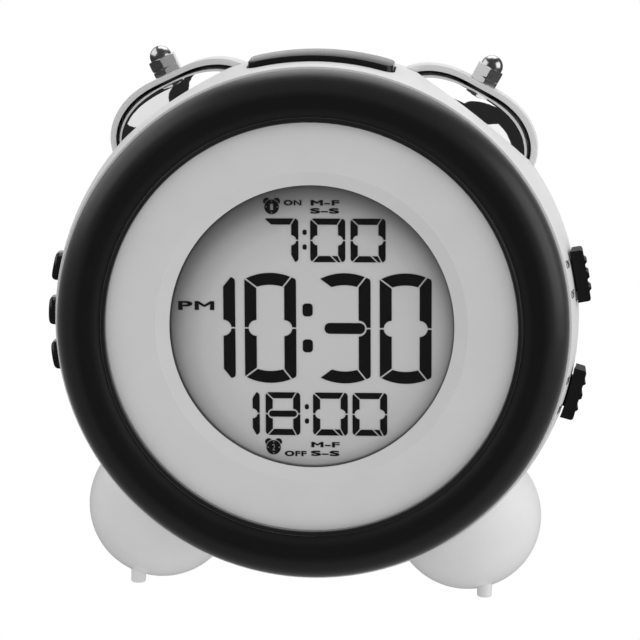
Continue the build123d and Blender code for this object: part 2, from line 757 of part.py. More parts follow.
def bell_washer():
    ring = rod_up(WASHER_R, BELL_CROWN, BELL_CROWN + WASHER_WALL)
    return ring - rod_up(BOLT_R + FIT, BELL_CROWN - OVERRUN, OVERRUN)


# A hexagon with its corners turned off at both ends
def nut_hexagon(height):
    flat_r = NUT_FLATS / 2
    corner_r = NUT_FLATS / sqrt(3)
    drop = (corner_r - flat_r) / sqrt(3)
    prism = extrude(RegularPolygon(flat_r, 6, major_radius=False, rotation=NUT_TURN), height)
    outline = Polyline((0, 0), (flat_r, 0), (corner_r, drop), (corner_r, height - drop),
                       (flat_r, height), (0, height), close=True)
    return prism & turned_up(outline)


def jam_nut():
    return nut_hexagon(JAM_HEIGHT) - rod_up(BOLT_R + FIT, -OVERRUN, OVERRUN)


def dome_nut():
    crown = NUT_HEX_HEIGHT + NUT_DOME_WALL
    slant = NUT_DOME_R / sqrt(2)
    outline = Line((0, 0), (NUT_DOME_R, 0)) + Line((NUT_DOME_R, 0), (NUT_DOME_R, crown))
    outline += ThreePointArc((NUT_DOME_R, crown), (slant, crown + slant), (0, crown + NUT_DOME_R))
    outline += Line((0, crown + NUT_DOME_R), (0, 0))
    nut = nut_hexagon(NUT_HEX_HEIGHT) + turned_up(outline)
    return Pos(0, 0, JAM_HEIGHT) * nut - rod_up(BOLT_R + FIT, -OVERRUN, BOLT_REACH + FIT)


# Feet, drawn out along X and turned to their place under the body
def foot_pair(shape):
    return pair(turn(FOOT_ANGLE - 90) * shape)


def foot_screw_hole():
    return rod_out(FOOT_SCREW_R + FIT, 0, BARREL_R + FOOT_SCREW_LENGTH, FOOT_DEPTH)


def foot_screw():
    seat = sqrt((BARREL_R - WALL) ** 2 - FOOT_SCREW_HEAD_R ** 2) - FIT * 2
    screw = rod_out(FOOT_SCREW_HEAD_R, seat - FOOT_SCREW_HEAD, seat, FOOT_DEPTH)
    return screw + rod_out(FOOT_SCREW_R, seat, BARREL_R + FOOT_SCREW_LENGTH - FIT, FOOT_DEPTH)


def foot_places():
    x = FOOT_REACH * sin(radians(FOOT_ANGLE)) + PEG_OUT
    return [(x, FOOT_DEPTH - PEG_FRONT), (x, FOOT_DEPTH + PEG_REAR)]


def peg(gap, x, distance):
    cylinder = Cylinder(PEG_R + gap, PEG_LENGTH)
    if not gap:
        cylinder = fillet(cylinder.edges().sort_by(Axis.Z)[0], PEG_ROUND)
    return Pos(x, depth(distance), PEG_LENGTH / 2 - AXIS_Z) * cylinder


def foot():
    ball = Pos(FOOT_REACH, depth(FOOT_DEPTH), 0) * Sphere(FOOT_R)
    inside = Pos(FOOT_REACH, depth(FOOT_DEPTH), 0) * Sphere(FOOT_R - FOOT_WALL)
    cup = ball - inside + (rod_out(FOOT_BOSS_R, 0, FOOT_REACH + FOOT_R, FOOT_DEPTH) & ball)
    cup = cup - barrel(-FIT) - foot_screw_hole()
    cup = turn(FOOT_ANGLE - 90) * cup
    for x, distance in foot_places():
        cup -= peg(FIT, x, distance)
    return cup


# Striker: a small motor in a cup of the rear housing rocks a brass ball between the bells
def striker_motor():
    motor = rod_back(MOTOR_R, MOTOR_FRONT, MOTOR_BACK, 0, MOTOR_Z)
    motor += rod_back(MOTOR_BOSS_R, MOTOR_FRONT - MOTOR_BOSS, MOTOR_FRONT, 0, MOTOR_Z)
    return motor - rod_back(SHAFT_R + FIT, 0, MOTOR_FRONT + SHAFT_SUNK + FIT, 0, MOTOR_Z)


def motor_clamp():
    half = CLAMP_HEIGHT / 2
    plate = block(-CLAMP_HALF, CLAMP_HALF, CLAMP_FRONT, MOTOR_FRONT, MOTOR_Z - half, MOTOR_Z + half)
    plate -= rod_back(MOTOR_BOSS_R + FIT, 0, BODY_DEPTH, 0, MOTOR_Z)
    for x, z in clamp_places():
        plate -= rod_back(SMALL_SCREW_R + FIT, 0, BODY_DEPTH, x, z)
    return plate


def clamp_screw(x, z):
    head = rod_back(SMALL_SCREW_HEAD_R, CLAMP_FRONT - SMALL_SCREW_HEAD, CLAMP_FRONT, x, z)
    return head + rod_back(SMALL_SCREW_R, CLAMP_FRONT, MOTOR_FRONT + CLAMP_SCREW_LENGTH - FIT, x, z)


HUB_FRONT = BELL_DEPTH - HUB_LENGTH / 2
HUB_BACK = BELL_DEPTH + HUB_LENGTH / 2
HEAD_Z = BARREL_R - HEAD_DROP


def arm_shape(gap, low, high):
    return Pos(0, depth(BELL_DEPTH), 0) * rod_up(ARM_R + gap, low, high)


ARM_LOW = MOTOR_Z + HUB_R - ARM_GRIP
ARM_HIGH = HEAD_Z - HEAD_R + HEAD_SOCKET


def motor_shaft():
    return rod_back(SHAFT_R, HUB_FRONT, MOTOR_FRONT + SHAFT_SUNK, 0, MOTOR_Z)


def striker_hub():
    hub = rod_back(HUB_R, HUB_FRONT, HUB_BACK, 0, MOTOR_Z)
    hub -= rod_back(SHAFT_R + FIT, 0, BODY_DEPTH, 0, MOTOR_Z)
    return hub - arm_shape(FIT, ARM_LOW - FIT, HEAD_Z)


def striker_arm():
    return arm_shape(0, ARM_LOW, ARM_HIGH)


def striker_head():
    ball = Pos(0, depth(BELL_DEPTH), HEAD_Z) * Sphere(HEAD_R)
    return ball - arm_shape(FIT, MOTOR_Z, ARM_HIGH + FIT)


# Cells lie across the clock, the middle one turned end for end
CELL_DEPTH = DOOR_FRONT - CELL_GAP - CELL_R


def cell_places():
    first = BAY_Z - CELL_PITCH * (CELL_COUNT - 1) / 2
    return [(first + CELL_PITCH * index, 1 if index % 2 else -1) for index in range(CELL_COUNT)]


def cell(z, way):
    start = -CELL_SPAN / 2
    body = rod_out(CELL_R, start, start + CELL_LENGTH, CELL_DEPTH)
    body += rod_out(CELL_NUB_R, start + CELL_LENGTH, start + CELL_SPAN, CELL_DEPTH)
    if way < 0:
        body = mirror(body, about=Plane.YZ)
    return Pos(0, 0, z) * body


def contact(z, side):
    half = CONTACT_SIDE / 2
    wall = BAY_LENGTH / 2
    plate = block(wall - CONTACT_WALL, wall, CELL_DEPTH - half, CELL_DEPTH + half, z - half, z + half)
    plate += rod_out(CONTACT_NUB_R, wall - CONTACT_WALL - CONTACT_NUB, wall - CONTACT_WALL, CELL_DEPTH, z)
    return plate if side > 0 else mirror(plate, about=Plane.YZ)


# Battery door, with a finger groove along its top
def battery_door():
    door = bay(DOOR_LIP - DOOR_GAP, DOOR_FRONT, BODY_DEPTH)
    groove_y = depth(BODY_DEPTH + DOOR_GROOVE_R - DOOR_GROOVE_DEPTH)
    groove_z = BAY_Z + BAY_HEIGHT / 2 - DOOR_GROOVE_R
    groove = Rot(0, 90, 0) * Cylinder(DOOR_GROOVE_R, DOOR_GROOVE_LENGTH)
    return door - Pos(0, groove_y, groove_z) * groove


# Every piece, by the name of its file
def pieces():
    yield "front_housing", [front_housing()]
    yield "rear_housing", [rear_housing()]
    yield "front_ring", [front_ring()]
    yield "face_bezel", [face_bezel()]
    yield "display_window", [display_window()]
    yield "lcd_glass", [lcd_glass()]
    yield "lcd_frame", [lcd_frame()]
    yield "backlight_guide", [guide_shape(0, GLASS_BACK, BOARD_FRONT)]
    yield "contact_strips", [strip_shape(0, GLASS_BACK, BOARD_FRONT, side) for side in (-1, 1)]
    yield "main_board", [main_board()]
    yield "chip_blob", [chip_blob()]
    yield "crystal_can", [crystal_can()]
    screws = [small_screw(FRAME_BACK, DISPLAY_SCREW_LENGTH, x, z) for x, z in display_places()]
    yield "display_screws", screws
    screws = [small_screw(BOARD_BACK, BOARD_SCREW_LENGTH, x, z) for x, z in standoff_places()]
    yield "board_screws", screws
    bell_right, bell_left = pair(at_bell(bell()))
    yield "bell_right", [bell_right]
    yield "bell_left", [bell_left]
    yield "bell_bolts", pair(at_bell(bell_bolt()))
    yield "bell_washers", pair(at_bell(bell_washer()))
    yield "jam_nuts", pair(at_bell(jam_nut()))
    yield "dome_nuts", pair(at_bell(dome_nut()))
    foot_right, foot_left = pair(foot())
    yield "foot_right", [foot_right]
    yield "foot_left", [foot_left]
    pegs = [peg(0, x, distance) for x, distance in foot_places()]
    yield "foot_pegs", [solid for shape in pegs for solid in pair(shape)]
    yield "foot_screws", foot_pair(foot_screw())
    yield "snooze_button", [snooze_button()]
    yield "snooze_plunger", [SNOOZE * tact_plunger()]
    yield "snooze_switch", [SNOOZE * tact_switch()]
    yield "snooze_board", [SNOOZE * station_board(SNOOZE_BOARD)]
    for which, z in KEY_PLACES.items():
        yield f"side_key_{which}", [side_key(z)]
        yield f"key_plunger_{which}", [KEYS * tact_plunger(z)]
    yield "key_switches", [KEYS * tact_switch(z) for z in KEY_PLACES.values()]
    yield "key_board", [KEYS * station_board(KEY_BOARD)]
    for which in KNOB_ANGLES:
        yield f"switch_knob_{which}", [switch_knob(which)]
        yield f"switch_lever_{which}", [switch_lever(which)]
    yield "slide_switches", [slide_switch(which) for which in KNOB_ANGLES]
    yield "switch_boards", [turn(angle) * station_board(SWITCH_BOARD) for angle in KNOB_ANGLES.values()]
    yield "striker_motor", [striker_motor()]
    yield "motor_clamp", [motor_clamp()]
    yield "clamp_screws", [clamp_screw(x, z) for x, z in clamp_places()]
    yield "motor_shaft", [motor_shaft()]
    yield "striker_hub", [striker_hub()]
    yield "striker_arm", [striker_arm()]
    yield "striker_head", [striker_head()]
    yield "batteries", [cell(z, way) for z, way in cell_places()]
    yield "battery_contacts", [contact(z, side) for z, way in cell_places() for side in (-1, 1)]
    yield "battery_door", [battery_door()]
    yield "case_screws", [case_screw(x, z) for x, z in case_places()]


os.makedirs("parts", exist_ok=True)
for node, shapes in pieces():
    export_step(Pos(0, 0, AXIS_Z) * gather(shapes), f"parts/{node}.step")
    print(node, "written")
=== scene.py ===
# %% [markdown]
# # A twin-bell digital alarm clock
# The clock's solids come ready made, in metres, with every piece in its place.
# This lesson dresses them: camera, light, finishes, and the thin printed pieces that solids leave out.

# %% Load the solids
from math import atan2, cos, pi, radians, sin

import bpy
from mathutils import Matrix, Vector


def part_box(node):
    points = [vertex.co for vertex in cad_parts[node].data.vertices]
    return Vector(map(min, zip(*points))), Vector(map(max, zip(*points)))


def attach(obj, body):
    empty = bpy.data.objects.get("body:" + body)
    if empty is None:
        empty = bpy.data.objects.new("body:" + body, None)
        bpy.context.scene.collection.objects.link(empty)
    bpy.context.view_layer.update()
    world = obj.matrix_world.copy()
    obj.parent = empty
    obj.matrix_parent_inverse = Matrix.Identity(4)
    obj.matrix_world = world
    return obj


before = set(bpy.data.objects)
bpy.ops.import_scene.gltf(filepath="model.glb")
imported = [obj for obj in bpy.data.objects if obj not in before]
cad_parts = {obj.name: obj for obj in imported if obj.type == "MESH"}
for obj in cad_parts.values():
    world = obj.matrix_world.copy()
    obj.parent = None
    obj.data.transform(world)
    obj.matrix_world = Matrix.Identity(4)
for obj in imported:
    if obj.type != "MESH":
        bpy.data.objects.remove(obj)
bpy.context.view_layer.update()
MM = 0.001

# %% [markdown]
# ## Where things are
# Everything on the clock's face is centred on the black ring, so its box gives the axis of the body.
# The front of the display glass is the face that the digits lie on.

# %% Measure the frame
ring_low, ring_high = (Vector(corner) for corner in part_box("front_ring"))
AXIS_Z = (ring_low.z + ring_high.z) / 2
RING_R = ring_high.x
RING_BACK = ring_high.y
GLASS_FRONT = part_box("lcd_glass")[0][1]
print("axis height mm:", round(AXIS_Z / MM, 2), "glass front mm:", round(GLASS_FRONT / MM, 2))

# %% [markdown]
# ## Camera
# A long lens from a little above and to the right flattens the clock as a catalogue picture does.
# The camera's three axes are worked out one by one, so that a slight roll can be added to them,
# and a small shift slides the picture without turning the camera.

# %% Place the camera
PICTURE = 640
FOCAL_PIXELS = 2782
SENSOR = 36
YAW = radians(4.1)
RISE = radians(9.3)
ROLL = radians(1.4)
AWAY = 0.650
SHIFT_PIXELS = (8.0, 6.0)
NEAR_CLIP = 0.01

aim = Vector((0, RING_BACK, AXIS_Z))
back = Vector((sin(YAW) * cos(RISE), -cos(YAW) * cos(RISE), sin(RISE)))
level = Vector((0, 0, 1)).cross(back).normalized()
upright = back.cross(level)
right = level * cos(ROLL) + upright * sin(ROLL)
up = upright * cos(ROLL) - level * sin(ROLL)

bpy.ops.object.select_all(action="DESELECT")
bpy.ops.object.camera_add()
camera = bpy.context.object
camera.name = "camera"
turn = Matrix((right, up, back)).transposed().to_4x4()
camera.matrix_world = Matrix.Translation(aim + AWAY * back) @ turn
camera.data.sensor_width = SENSOR
camera.data.lens = FOCAL_PIXELS / PICTURE * SENSOR
camera.data.shift_x = SHIFT_PIXELS[0] / PICTURE
camera.data.shift_y = SHIFT_PIXELS[1] / PICTURE
camera.data.clip_start = NEAR_CLIP
bpy.context.scene.camera = camera
bpy.context.scene.view_settings.view_transform = "Standard"
print("lens mm:", round(camera.data.lens, 1))

# %% [markdown]
# ## Writing shaders as sums
# A shader is a graph of nodes. Wiring dozens of them by hand hides the idea, so one small class wraps
# a socket and lets it stand in ordinary sums, and one method makes every other kind of node.

# %% Tools for shaders
class Wire:
    def __init__(self, paint, end):
        self.paint = paint
        self.end = end

    def sum(self, operation, first, second):
        return self.paint.node("ShaderNodeMath", {"operation": operation}, {0: first, 1: second})

    def __add__(self, other):
        return self.sum("ADD", self, other)

    def __sub__(self, other):
        return self.sum("SUBTRACT", self, other)

    def __rsub__(self, other):
        return self.sum("SUBTRACT", other, self)

    def __mul__(self, other):
        return self.sum("MULTIPLY", self, other)

    def __abs__(self):
        return self.sum("ABSOLUTE", self, 0)

    def __lt__(self, other):
        return self.sum("LESS_THAN", self, other)

    def __or__(self, other):
        return self.sum("MAXIMUM", self, other)

    __radd__ = __add__
    __rmul__ = __mul__


class Paint:
    def __init__(self, tree):
        self.tree = tree
        self.tree.nodes.clear()

    def node(self, kind, settings=None, sockets=None, out=0):
        made = self.tree.nodes.new(kind)
        for name, value in (settings or {}).items():
            if name == "stops":
                stops = made.color_ramp.elements
                while len(stops) < len(value):
                    stops.new(0.5)
                for stop, (place, tone) in zip(stops, value):
                    stop.position = place
                    stop.color = (tone, tone, tone, 1)
            else:
                setattr(made, name, value)
        for name, value in (sockets or {}).items():
            if isinstance(value, Wire):
                self.tree.links.new(value.end, made.inputs[name])
            else:
                made.inputs[name].default_value = value
        return Wire(self, made.outputs[out]) if made.outputs else None


def grey(tone):
    return (tone, tone, tone, 1)


print("shader tools ready")

# %% [markdown]
# ## Studio
# The picture has a white background with no visible room. The camera and clear pieces see the sky as white,
# but the light that it sheds on the clock has a strength of its own, a little higher on the right, which
# gives the bevel of the face its light and dark side.
# Mirrors see a dark sky with one white patch straight behind: that makes black plastic read as black.
# The floor is matt, and it glows only to the camera, mirrors and clear pieces, so it adds little light.

# %% Build the sky and the floor
SKY_FILL = 0.67
SKY_SLOPE = 0.17
ROOM_DARK = 0.02
WALL_FROM = 0.93
WALL_FULL = 0.98
FLOOR_WHITE = 0.42
FLOOR_COLOUR = grey(0.85)
FLOOR_WIDTH = 3.0
FLOOR_FRONT = -0.13
FLOOR_BACK = 12.0

world = bpy.data.worlds.new("studio")
bpy.context.scene.world = world
world.use_nodes = True
sky = Paint(world.node_tree)
looked_at = sky.node("ShaderNodeLightPath", out="Is Camera Ray")
seen = looked_at | sky.node("ShaderNodeLightPath", out="Is Transmission Ray")
mirrored = sky.node("ShaderNodeLightPath", out="Is Glossy Ray")
direction = sky.node("ShaderNodeTexCoord", out="Generated")
rearward = sky.node("ShaderNodeSeparateXYZ", sockets={"Vector": direction}, out="Y")
rightward = sky.node("ShaderNodeSeparateXYZ", sockets={"Vector": direction}, out="X")
fill = SKY_FILL + SKY_SLOPE * rightward
patch = {"Value": rearward, "From Min": WALL_FROM, "From Max": WALL_FULL, "To Min": ROOM_DARK, "To Max": 1}
wall = sky.node("ShaderNodeMapRange", {"interpolation_type": "SMOOTHSTEP"}, patch)
strength = seen + (1 - seen) * (mirrored * wall + (1 - mirrored) * fill)
light = sky.node("ShaderNodeBackground", sockets={"Color": grey(1), "Strength": strength})
sky.node("ShaderNodeOutputWorld", sockets={"Surface": light})

bpy.ops.object.select_all(action="DESELECT")
bpy.ops.mesh.primitive_plane_add(size=1, location=(0, (FLOOR_FRONT + FLOOR_BACK) / 2, 0),
                                 scale=(FLOOR_WIDTH, FLOOR_BACK - FLOOR_FRONT, 1))
floor = bpy.context.object
floor.name = "floor"
floor_material = bpy.data.materials.new("pale_floor")
floor_material.use_nodes = True
pale = Paint(floor_material.node_tree)
rays = ["Is Camera Ray", "Is Glossy Ray", "Is Transmission Ray"]
shown = [pale.node("ShaderNodeLightPath", out=ray) for ray in rays]
matt = pale.node("ShaderNodeBsdfDiffuse", sockets={"Color": FLOOR_COLOUR})
glow = pale.node("ShaderNodeEmission", sockets={"Strength": (shown[0] | shown[1] | shown[2]) * FLOOR_WHITE})
both = pale.node("ShaderNodeAddShader", sockets={0: matt, 1: glow})
pale.node("ShaderNodeOutputMaterial", sockets={"Surface": both})
floor.data.materials.append(floor_material)
print("floor metres:", FLOOR_WIDTH, "wide")

# %% [markdown]
# ## Lamps
# Chrome shows the whole room, so the lamps are placed by what the bells mirror: a broad soft box on each
# side and one above and behind, with darkness between them. Each is given by two angles, as a
# photographer would say it: how far round from the front, and how far up. Its size in metres and its
# power in watts come after them.

# %% Hang the lamps
LAMP_AWAY = 0.62
LAMPS = {
    "left": (-93, 33, (0.94, 0.44), 1.05),
    "right": (76, 17, (0.55, 0.48), 0.82),
    "overhead": (174, 58, (0.54, 0.56), 1.1),
}

for lamp_name, (round_from_front, rise, size, power) in LAMPS.items():
    bpy.ops.object.light_add(type="AREA")
    lamp = bpy.context.object
    lamp.name = lamp_name
    around, height = radians(round_from_front), radians(rise)
    way = Vector((sin(around) * cos(height), -cos(around) * cos(height), sin(height)))
    place = LAMP_AWAY * way + Vector((0, 0, AXIS_Z))
    lamp.matrix_world = Matrix.Translation(place) @ way.to_track_quat("Z", "Y").to_matrix().to_4x4()
    lamp.data.shape = "RECTANGLE"
    lamp.data.size = size[0]
    lamp.data.size_y = size[1]
    lamp.data.energy = power
print("lamps:", list(LAMPS))

# %% [markdown]
# ## Finishes
# Moulded plastic is never one flat colour: it has a fine grain from the mould, faint cloudiness in the
# colour and patches that are a little glossier. One function gives each plastic those three things.

# %% Paint the solids
GRAIN = 0.35 * MM
GRAIN_DEPTH = 0.006 * MM
COLOUR_PATCH = 9 * MM
GLOSS_PATCH = 3 * MM
GLOSS_SPREAD = 0.10
SMUDGE = 6 * MM
SMUDGE_SHADE = 0.97
CLOUD_DETAIL = 3.0


def object_place(paint):
    return paint.node("ShaderNodeTexCoord", out="Object")


def cloud(paint, size):
    sockets = {"Vector": object_place(paint), "Scale": 1 / size, "Detail": CLOUD_DETAIL}
    return paint.node("ShaderNodeTexNoise", sockets=sockets)


def bumped(paint, height, distance):
    sockets = {"Height": height, "Distance": distance, "Strength": 1.0}
    return paint.node("ShaderNodeBump", sockets=sockets)


def mix_tones(paint, mask, first, second):
    sockets = {0: mask, 6: first, 7: second}
    return paint.node("ShaderNodeMix", {"data_type": "RGBA"}, sockets, out=2)


def finished(name, make, **fixed):
    material = bpy.data.materials.new(name)
    material.use_nodes = True
    paint = Paint(material.node_tree)
    sockets = make(paint)
    sockets.update(fixed)
    shader = paint.node("ShaderNodeBsdfPrincipled", sockets=sockets)
    paint.node("ShaderNodeOutputMaterial", sockets={"Surface": shader})
    return material


def tinted(colour, share):
    return tuple(value * share for value in colour[:3]) + (1,)


def plastic(colour, rough, grain=GRAIN, depth=GRAIN_DEPTH, cloudiness=0.04):
    def make(paint):
        patches = cloud(paint, COLOUR_PATCH)
        base = mix_tones(paint, patches, tinted(colour, 1 - cloudiness), tinted(colour, 1 + cloudiness))
        gloss = rough + GLOSS_SPREAD * (cloud(paint, GLOSS_PATCH) - 0.5)
        return {"Base Color": base, "Roughness": gloss, "Normal": bumped(paint, cloud(paint, grain), depth)}
    return make


def metal(colour, rough, spread=0.05):
    def make(paint):
        smudge = cloud(paint, SMUDGE)
        base = mix_tones(paint, smudge, tinted(colour, SMUDGE_SHADE), colour)
        return {"Base Color": base, "Roughness": rough + spread * smudge}
    return make


def along(paint, axis):
    return paint.node("ShaderNodeSeparateXYZ", sockets={"Vector": object_place(paint)}, out=axis)


WHITE = grey(0.86)
SHELL_ROUGH = 0.38
materials = {
    "white_shell": finished("satin_white", plastic(WHITE, SHELL_ROUGH)),
    "face_grey": finished("fine_grey", plastic(grey(0.74), 0.50, grain=0.25 * MM)),
    "inner_plastic": finished("inner_moulding", plastic(grey(0.35), 0.5)),
    "light_guide": finished("milky_guide", plastic((0.72, 0.76, 0.74, 1), 0.2)),
    "contact_rubber": finished("striped_rubber", plastic((0.45, 0.32, 0.30, 1), 0.7)),
    "board_green": finished("green_board", plastic((0.03, 0.16, 0.06, 1), 0.4, cloudiness=0.2)),
    "chip_resin": finished("black_resin", plastic(grey(0.012), 0.25)),
    "steel": finished("plated_steel", metal(grey(0.62), 0.22), Metallic=1.0),
    "bell_chrome": finished("bright_chrome", metal(grey(0.90), 0.03, 0.03), Metallic=1.0),
    "washer_rubber": finished("dull_rubber", plastic(grey(0.02), 0.7)),
    "black_button": finished("button_black", plastic(grey(0.012), 0.18)),
    "switch_plastic": finished("switch_black", plastic(grey(0.02), 0.5)),
    "striker_brass": finished("turned_brass", metal((0.78, 0.56, 0.22, 1), 0.18), Metallic=1.0),
}
print("finishes:", len(materials))

# %% [markdown]
# ## The black ring
# The ring is one moulding with three zones: a rolled lip round its bore, a dark slope, and a broad outer
# shoulder. Painted highlights make the lip and the shoulder a little greyer than the slope. The distance
# from the body's axis tells the zones apart, so one colour ramp paints them all, and a trace of sheen
# lightens the edges that turn away.

# %% Paint the ring
RING_GLOSS = {"Specular IOR Level": 0.8, "Sheen Weight": 0.45, "Sheen Roughness": 0.4}
RING_DARK = 0.002
RING_ROUGH = 0.36
RING_GRAIN = 0.008 * MM
# Painted highlights: the lip and the outer shoulder are painted lighter than the dark slope.
RING_PAINTED_HIGHLIGHTS_MM = [(50.2, 0.009), (51.6, RING_DARK), (54.2, RING_DARK), (55.8, 0.012)]


def tone_by_reach(paint, x, z, full, stops):
    sockets = {"Vector": object_place(paint), "Location": (-x, 0, -z)}
    place = paint.node("ShaderNodeMapping", sockets=sockets)
    flat = paint.node("ShaderNodeVectorMath", {"operation": "MULTIPLY"}, {0: place, 1: (1, 0, 1)})
    reach = paint.node("ShaderNodeVectorMath", {"operation": "LENGTH"}, {0: flat}, out="Value")
    return paint.node("ShaderNodeValToRGB", {"stops": stops}, {"Fac": reach * (1 / full)})


def ring(paint):
    sockets = plastic(grey(RING_DARK), RING_ROUGH, depth=RING_GRAIN)(paint)
    # The zone ramp paints the highlights of lip and shoulder into the ring's colour.
    zones = [(reach * MM / RING_R, tone) for reach, tone in RING_PAINTED_HIGHLIGHTS_MM]
    sockets["Base Color"] = tone_by_reach(paint, 0, AXIS_Z, RING_R, zones)
    return sockets


materials["black_ring"] = finished("satin_black_painted_highlights", ring, **RING_GLOSS)
print("ring zones:", len(RING_PAINTED_HIGHLIGHTS_MM))

# %% [markdown]
# ## Seam, nuts, knobs and cells
# Some nodes need a finish of their own. The two halves of the case meet in a hairline seam: a thin dark
# band at the rear edge of the front half. The nuts are plated less brightly than the bells, and the knobs
# are duller than the keys.
# The cells show when the door is off: a printed sleeve with a pale band, and bare steel at both ends.

# %% Paint the seam, the nuts, the knobs and the cells
PARTING_Y = -1.75 * MM
SEAM = 0.20 * MM
SEAM_GREY = grey(0.22)
SLEEVE_HALF = 23.6 * MM
BAND = (9.0 * MM, 17.0 * MM)
SLEEVE_DARK = (0.03, 0.035, 0.04, 1)
SLEEVE_PALE = grey(0.45)
BARE_STEEL = grey(0.6)
SLEEVE_SMUDGE = 5 * MM
SLEEVE_ROUGH = 0.25
SLEEVE_SPREAD = 0.12


def front_half(paint):
    sockets = plastic(WHITE, SHELL_ROUGH)(paint)
    seam = 1 - (along(paint, "Y") < PARTING_Y - SEAM)
    sockets["Base Color"] = mix_tones(paint, seam, sockets["Base Color"], SEAM_GREY)
    return sockets


def cell(paint):
    x = along(paint, "X")
    band = abs(x - sum(BAND) / 2) < (BAND[1] - BAND[0]) / 2
    sleeve = mix_tones(paint, band, SLEEVE_DARK, SLEEVE_PALE)
    bare = 1 - (abs(x) < SLEEVE_HALF)
    colour = mix_tones(paint, bare, sleeve, BARE_STEEL)
    gloss = SLEEVE_ROUGH + SLEEVE_SPREAD * cloud(paint, SLEEVE_SMUDGE)
    return {"Base Color": colour, "Metallic": bare, "Roughness": gloss}


materials["cell_sleeve"] = finished("printed_sleeve", cell)
nut_finish = finished("nut_plating", metal(grey(0.88), 0.20, 0.08), Metallic=1.0)
knob_finish = finished("knob_black", plastic(grey(0.008), 0.5), **{"Specular IOR Level": 0.3})
own_finishes = {
    "front_housing": finished("satin_white_with_seam", front_half),
    "jam_nuts": nut_finish,
    "dome_nuts": nut_finish,
    "switch_knob_upper": knob_finish,
    "switch_knob_lower": knob_finish,
}
print("nodes with a finish of their own:", len(own_finishes))

# %% [markdown]
# ## Display glass and window
# A liquid crystal panel looks grey. Painted shade makes it lightest in the middle and darker towards the
# rim, where the bezel shades it. The distance from a point a little below and right of the middle drives
# that painted shade, and a second distance, from the axis, draws a thin painted shadow line right at the
# rim.
# The window over it is clear, so it is mostly see-through and keeps only a thin gloss.

# %% Paint the display
SIGHT_R = 33.3 * MM
SHADE_DROP = 3.6 * MM
SHADE_RIGHT = 1.0 * MM
# Painted shade: the display's grey falls off from the middle towards the rim.
SHADE = [(0.0, 0.89), (0.55, 0.85), (0.72, 0.75), (0.83, 0.54), (0.92, 0.27), (1.0, 0.14)]
# Painted shadow: a thin dark line at the very rim of the display.
RIM_SHADOW = [(0.0, 1.0), (0.985, 1.0), (1.0, 0.3)]
GLASS_PATCH = 4 * MM
GLASS_ROUGH = 0.45
GLASS_SPREAD = 0.1
WINDOW_PATCH = 8 * MM
WINDOW_ROUGH = 0.04
WINDOW_SPREAD = 0.03
WINDOW_ALPHA = 0.06


def panel(paint):
    # The display's colour carries painted shade, and the rim term multiplies in a painted shadow line.
    shade = tone_by_reach(paint, SHADE_RIGHT, AXIS_Z - SHADE_DROP, SIGHT_R + SHADE_DROP, SHADE)
    rim = tone_by_reach(paint, 0, AXIS_Z, SIGHT_R, RIM_SHADOW)
    tone = paint.node("ShaderNodeVectorMath", {"operation": "MULTIPLY"}, {0: shade, 1: rim})
    return {"Base Color": tone, "Roughness": GLASS_ROUGH + GLASS_SPREAD * cloud(paint, GLASS_PATCH)}


def clear(paint):
    gloss = WINDOW_ROUGH + WINDOW_SPREAD * cloud(paint, WINDOW_PATCH)
    return {"Base Color": grey(0.0), "Roughness": gloss}


materials["display_glass"] = finished("grey_display_painted_shade", panel)
materials["clear_window"] = finished("clear_window_gloss", clear, Alpha=WINDOW_ALPHA)
print("display finishes added")

# %% [markdown]
# ## Give every node its finish
# Each solid arrives with a plain stand-in that is named after its slot in the record.
# The finish of the same name takes its place in the object's material slot, and the mesh stays untouched.

# %% Hand out the finishes
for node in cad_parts.values():
    for holder in node.material_slots:
        holder.material = materials[holder.material.name]
for name, finish in own_finishes.items():
    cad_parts[name].material_slots[0].material = finish
print("painted nodes:", len(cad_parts))

# %% [markdown]
# ## Tools for modelling
# The digits are thin plates of ink that lie just in front of the glass. Each is modelled as by hand:
# a primitive, a cut or two, rounded corners, and a copy wherever it repeats.
# A primitive arrives selected, so everything else is let go first.

# %% Small modelling tools
INK = 0.10 * MM
INK_GAP = 0.03 * MM
INK_Y = GLASS_FRONT - INK_GAP - INK / 2
TO_FRONT = (pi / 2, 0, 0)
CORNER_STEPS = 6
DISC_SIDES = 64


def let_go():
    bpy.ops.object.select_all(action="DESELECT")


def activate(piece):
    let_go()
    piece.select_set(True)
    bpy.context.view_layer.objects.active = piece


def settle(piece):
    activate(piece)
    bpy.ops.object.transform_apply(location=True, rotation=True, scale=True)


def named(name):
    piece = bpy.context.object
    piece.name = name
    piece.data.name = name
    settle(piece)
    return piece


def corners(piece):
    places = [vertex.co for vertex in piece.data.vertices]
    low = Vector([min(place[axis] for place in places) for axis in range(3)])
    high = Vector([max(place[axis] for place in places) for axis in range(3)])
    return low, high


def disc(name, radius, x=0.0, z=0.0, thick=INK, sides=DISC_SIDES):
    let_go()
    bpy.ops.mesh.primitive_cylinder_add(vertices=sides, radius=radius, depth=thick,
                                        location=(x, 0, z), rotation=TO_FRONT)
    return named(name)


def slab(name, size, x=0.0, z=0.0, tilt=0.0):
    let_go()
    bpy.ops.mesh.primitive_cube_add(size=1, location=(x, 0, z), rotation=(0, -tilt, 0), scale=size)
    return named(name)


def round_corners(piece, radius, test):
    activate(piece)
    bpy.ops.object.mode_set(mode="EDIT")
    bpy.ops.mesh.select_mode(type="EDGE")
    bpy.ops.mesh.select_all(action="DESELECT")
    bpy.ops.object.mode_set(mode="OBJECT")
    mesh = piece.data
    for edge in mesh.edges:
        first, second = (mesh.vertices[index].co for index in edge.vertices)
        edge.select = abs(first.y - second.y) > INK / 2 and test((first + second) / 2)
    bpy.ops.object.mode_set(mode="EDIT")
    bpy.ops.mesh.bevel(offset=radius, segments=CORNER_STEPS, affect="EDGES")
    bpy.ops.object.mode_set(mode="OBJECT")


